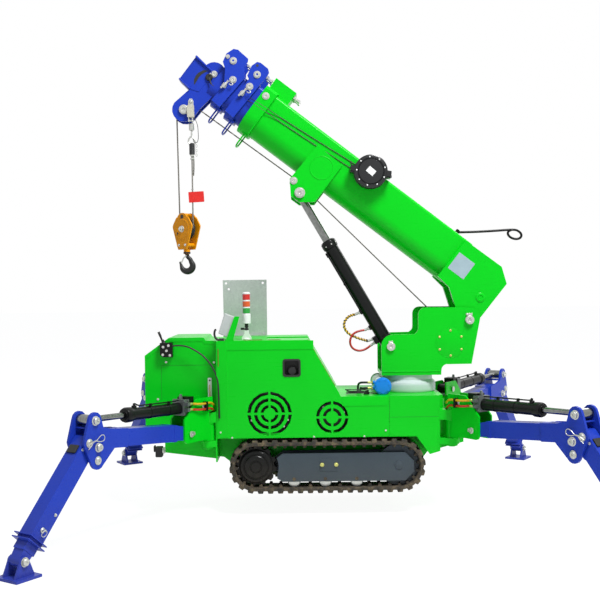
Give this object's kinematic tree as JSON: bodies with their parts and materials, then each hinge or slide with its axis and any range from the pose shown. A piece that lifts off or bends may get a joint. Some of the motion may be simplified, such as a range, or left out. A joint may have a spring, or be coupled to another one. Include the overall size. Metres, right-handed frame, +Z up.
{
  "type": "spider crane",
  "caption": "Mini crawler crane standing on folding outriggers, with a slewing turret, a luffing telescopic boom, a luff cylinder and a hook block.",
  "frame": {"origin": "on the ground under the middle of the four feet", "axes": "+Z up, -X the way the boom points in the picture, -Y the side with the control levers"},
  "size_m": [3.8138, 3.7662, 3.3129],
  "materials": {
    "green_paint": "gloss enamel",
    "blue_paint": "gloss enamel",
    "black_paint": "semi-gloss",
    "charcoal_paint": "semi-gloss",
    "track_rubber": "moulded",
    "bright_steel": "ground and plated",
    "zinc_plate": "plain sheet",
    "white_plastic": "moulded",
    "grey_paint": "gloss enamel",
    "grey_plastic": "moulded",
    "yellow_paint": "gloss enamel"
  },
  "bodies": {
    "root": {"chassis": "green_paint", "engine": "charcoal_paint", "hood": "green_paint", "control_box": "green_paint", "lever_box": "black_paint", "track_frame_near": "charcoal_paint", "track_frame_far": "charcoal_paint", "track_near": "track_rubber", "track_far": "track_rubber", "sprocket_near": "black_paint", "sprocket_far": "black_paint", "slew_drive": "grey_paint", "slew_motor": "blue_paint", "panel": "zinc_plate", "beacon": "white_plastic", "pod_arm": "green_paint", "pod": "grey_plastic"},
    "bracket_left_near": {"bracket_left_near": "green_paint"},
    "arm_left_near": {"arm_left_near": "blue_paint"},
    "leg_left_near": {"leg_left_near": "blue_paint"},
    "leg_inner_left_near": {"leg_inner_left_near": "blue_paint"},
    "foot_left_near": {"foot_left_near": "blue_paint"},
    "barrel_left_near": {"barrel_left_near": "black_paint"},
    "rod_left_near": {"rod_left_near": "bright_steel"},
    "bracket_left_far": {"bracket_left_far": "green_paint"},
    "arm_left_far": {"arm_left_far": "blue_paint"},
    "leg_left_far": {"leg_left_far": "blue_paint"},
    "leg_inner_left_far": {"leg_inner_left_far": "blue_paint"},
    "foot_left_far": {"foot_left_far": "blue_paint"},
    "barrel_left_far": {"barrel_left_far": "black_paint"},
    "rod_left_far": {"rod_left_far": "bright_steel"},
    "bracket_right_near": {"bracket_right_near": "green_paint"},
    "arm_right_near": {"arm_right_near": "blue_paint"},
    "leg_right_near": {"leg_right_near": "blue_paint"},
    "leg_inner_right_near": {"leg_inner_right_near": "blue_paint"},
    "foot_right_near": {"foot_right_near": "blue_paint"},
    "barrel_right_near": {"barrel_right_near": "black_paint"},
    "rod_right_near": {"rod_right_near": "bright_steel"},
    "bracket_right_far": {"bracket_right_far": "green_paint"},
    "arm_right_far": {"arm_right_far": "blue_paint"},
    "leg_right_far": {"leg_right_far": "blue_paint"},
    "leg_inner_right_far": {"leg_inner_right_far": "blue_paint"},
    "foot_right_far": {"foot_right_far": "blue_paint"},
    "barrel_right_far": {"barrel_right_far": "black_paint"},
    "rod_right_far": {"rod_right_far": "bright_steel"},
    "turret": {"turret": "green_paint", "winch": "black_paint"},
    "boom_base": {"boom_base": "green_paint", "cable_reel": "black_paint", "rope_guide": "black_paint"},
    "boom_2": {"boom_2": "blue_paint"},
    "boom_3": {"boom_3": "blue_paint"},
    "boom_head": {"boom_head": "blue_paint", "head_sheave": "charcoal_paint"},
    "luff_rod": {"luff_rod": "bright_steel"},
    "luff_barrel": {"luff_barrel": "black_paint"},
    "hook": {"hook_block": "yellow_paint", "hook": "black_paint"}
  },
  "joints": [
    {"name": "swing_left_near", "type": "hinge", "parent": "root", "child": "bracket_left_near", "pos_m": [-0.85, -0.35, 0.6], "axis": [0, 0, 1], "range_deg": [-56.5, 20]},
    {"name": "lift_left_near", "type": "hinge", "parent": "bracket_left_near", "child": "arm_left_near", "pos_m": [-0.99792, -0.57348, 0.616], "axis": [-0.8339, 0.5519, 0], "range_deg": [-12, 48]},
    {"name": "fold_left_near", "type": "hinge", "parent": "arm_left_near", "child": "leg_left_near", "pos_m": [-1.47755, -1.29813, 0.653], "axis": [-0.8339, 0.5519, 0], "range_deg": [-100, 20]},
    {"name": "extend_left_near", "type": "slide", "parent": "leg_left_near", "child": "leg_inner_left_near", "axis": [-0.3657, -0.5525, -0.749], "range_m": [0, 0.3]},
    {"name": "tilt_left_near", "type": "hinge", "parent": "leg_inner_left_near", "child": "foot_left_near", "pos_m": [-1.78215, -1.75833, 0.09713], "axis": [-0.8339, 0.5519, 0], "range_deg": [-30, 30]},
    {"name": "cylinder_left_near", "type": "hinge", "parent": "bracket_left_near", "child": "barrel_left_near", "pos_m": [-0.92451, -0.46258, 0.786], "axis": [-0.8339, 0.5519, 0], "range_deg": [-11.4, 45.2]},
    {"name": "stroke_left_near", "type": "slide", "parent": "barrel_left_near", "child": "rod_left_near", "axis": [-0.5517, -0.8336, 0.0283], "range_m": [-0.168, 0.044]},
    {"name": "swing_left_far", "type": "hinge", "parent": "root", "child": "bracket_left_far", "pos_m": [-0.85, 0.35, 0.6], "axis": [0, 0, -1], "range_deg": [-56.5, 20]},
    {"name": "lift_left_far", "type": "hinge", "parent": "bracket_left_far", "child": "arm_left_far", "pos_m": [-0.99792, 0.57348, 0.616], "axis": [0.8339, 0.5519, 0], "range_deg": [-12, 48]},
    {"name": "fold_left_far", "type": "hinge", "parent": "arm_left_far", "child": "leg_left_far", "pos_m": [-1.47755, 1.29813, 0.653], "axis": [0.8339, 0.5519, 0], "range_deg": [-100, 20]},
    {"name": "extend_left_far", "type": "slide", "parent": "leg_left_far", "child": "leg_inner_left_far", "axis": [-0.3657, 0.5525, -0.749], "range_m": [0, 0.3]},
    {"name": "tilt_left_far", "type": "hinge", "parent": "leg_inner_left_far", "child": "foot_left_far", "pos_m": [-1.78215, 1.75833, 0.09713], "axis": [0.8339, 0.5519, 0], "range_deg": [-30, 30]},
    {"name": "cylinder_left_far", "type": "hinge", "parent": "bracket_left_far", "child": "barrel_left_far", "pos_m": [-0.92451, 0.46258, 0.786], "axis": [0.8339, 0.5519, 0], "range_deg": [-11.4, 45.2]},
    {"name": "stroke_left_far", "type": "slide", "parent": "barrel_left_far", "child": "rod_left_far", "axis": [-0.5517, 0.8336, 0.0283], "range_m": [-0.168, 0.044]},
    {"name": "swing_right_near", "type": "hinge", "parent": "root", "child": "bracket_right_near", "pos_m": [0.85, -0.35, 0.6], "axis": [0, 0, -1], "range_deg": [-56.5, 20]},
    {"name": "lift_right_near", "type": "hinge", "parent": "bracket_right_near", "child": "arm_right_near", "pos_m": [0.99792, -0.57348, 0.616], "axis": [-0.8339, -0.5519, 0], "range_deg": [-12, 48]},
    {"name": "fold_right_near", "type": "hinge", "parent": "arm_right_near", "child": "leg_right_near", "pos_m": [1.47755, -1.29813, 0.653], "axis": [-0.8339, -0.5519, 0], "range_deg": [-100, 20]},
    {"name": "extend_right_near", "type": "slide", "parent": "leg_right_near", "child": "leg_inner_right_near", "axis": [0.3657, -0.5525, -0.749], "range_m": [0, 0.3]},
    {"name": "tilt_right_near", "type": "hinge", "parent": "leg_inner_right_near", "child": "foot_right_near", "pos_m": [1.78215, -1.75833, 0.09713], "axis": [-0.8339, -0.5519, 0], "range_deg": [-30, 30]},
    {"name": "cylinder_right_near", "type": "hinge", "parent": "bracket_right_near", "child": "barrel_right_near", "pos_m": [0.92451, -0.46258, 0.786], "axis": [-0.8339, -0.5519, 0], "range_deg": [-11.4, 45.2]},
    {"name": "stroke_right_near", "type": "slide", "parent": "barrel_right_near", "child": "rod_right_near", "axis": [0.5517, -0.8336, 0.0283], "range_m": [-0.168, 0.044]},
    {"name": "swing_right_far", "type": "hinge", "parent": "root", "child": "bracket_right_far", "pos_m": [0.85, 0.35, 0.6], "axis": [0, 0, 1], "range_deg": [-56.5, 20]},
    {"name": "lift_right_far", "type": "hinge", "parent": "bracket_right_far", "child": "arm_right_far", "pos_m": [0.99792, 0.57348, 0.616], "axis": [0.8339, -0.5519, 0], "range_deg": [-12, 48]},
    {"name": "fold_right_far", "type": "hinge", "parent": "arm_right_far", "child": "leg_right_far", "pos_m": [1.47755, 1.29813, 0.653], "axis": [0.8339, -0.5519, 0], "range_deg": [-100, 20]},
    {"name": "extend_right_far", "type": "slide", "parent": "leg_right_far", "child": "leg_inner_right_far", "axis": [0.3657, 0.5525, -0.749], "range_m": [0, 0.3]},
    {"name": "tilt_right_far", "type": "hinge", "parent": "leg_inner_right_far", "child": "foot_right_far", "pos_m": [1.78215, 1.75833, 0.09713], "axis": [0.8339, -0.5519, 0], "range_deg": [-30, 30]},
    {"name": "cylinder_right_far", "type": "hinge", "parent": "bracket_right_far", "child": "barrel_right_far", "pos_m": [0.92451, 0.46258, 0.786], "axis": [0.8339, -0.5519, 0], "range_deg": [-11.4, 45.2]},
    {"name": "stroke_right_far", "type": "slide", "parent": "barrel_right_far", "child": "rod_right_far", "axis": [0.5517, 0.8336, 0.0283], "range_m": [-0.168, 0.044]},
    {"name": "slew", "type": "hinge", "parent": "root", "child": "turret", "pos_m": [0.58, 0, 0.955], "axis": [0, 0, 1], "continuous": true},
    {"name": "boom_luff", "type": "hinge", "parent": "turret", "child": "boom_base", "pos_m": [1.008, 0, 1.346], "axis": [0, 1, 0], "range_deg": [-38, 38]},
    {"name": "telescope", "type": "slide", "parent": "boom_base", "child": "boom_2", "axis": [-0.7912, 0, 0.6115], "range_m": [0, 1.5]},
    {"name": "telescope_3", "type": "slide", "parent": "boom_2", "child": "boom_3", "axis": [-0.7912, 0, 0.6115], "range_m": [0, 1.5]},
    {"name": "telescope_head", "type": "slide", "parent": "boom_3", "child": "boom_head", "axis": [-0.7912, 0, 0.6115], "range_m": [0, 1.5]},
    {"name": "luff_rod_pin", "type": "hinge", "parent": "boom_base", "child": "luff_rod", "pos_m": [-0.19272, 0, 2.27149], "axis": [0, 1, 0], "range_deg": [-5, 5]},
    {"name": "luff_stroke", "type": "slide", "parent": "luff_rod", "child": "luff_barrel", "axis": [0.4983, 0, -0.867], "range_m": [-0.3305, 0.3305]},
    {"name": "hook_hang", "type": "hinge", "parent": "boom_head", "child": "hook", "pos_m": [-1.02581, 0, 2.89263], "axis": [0, 1, 0], "range_deg": [-38.5, 38.5]}
  ],
  "couplings": [
    {"joint": "cylinder_left_near", "follows": "lift_left_near", "ratio": 0.93},
    {"joint": "stroke_left_near", "follows": "lift_left_near", "m_per_rad": -0.198},
    {"joint": "cylinder_left_far", "follows": "lift_left_far", "ratio": 0.93},
    {"joint": "stroke_left_far", "follows": "lift_left_far", "m_per_rad": -0.198},
    {"joint": "cylinder_right_near", "follows": "lift_right_near", "ratio": 0.93},
    {"joint": "stroke_right_near", "follows": "lift_right_near", "m_per_rad": -0.198},
    {"joint": "cylinder_right_far", "follows": "lift_right_far", "ratio": 0.93},
    {"joint": "stroke_right_far", "follows": "lift_right_far", "m_per_rad": -0.198},
    {"joint": "telescope_3", "follows": "telescope", "ratio": 1},
    {"joint": "telescope_head", "follows": "telescope", "ratio": 1},
    {"joint": "luff_rod_pin", "follows": "boom_luff", "ratio": 0.13},
    {"joint": "luff_stroke", "follows": "boom_luff", "m_per_rad": 0.4976},
    {"joint": "hook_hang", "follows": "boom_luff", "ratio": -1}
  ]
}
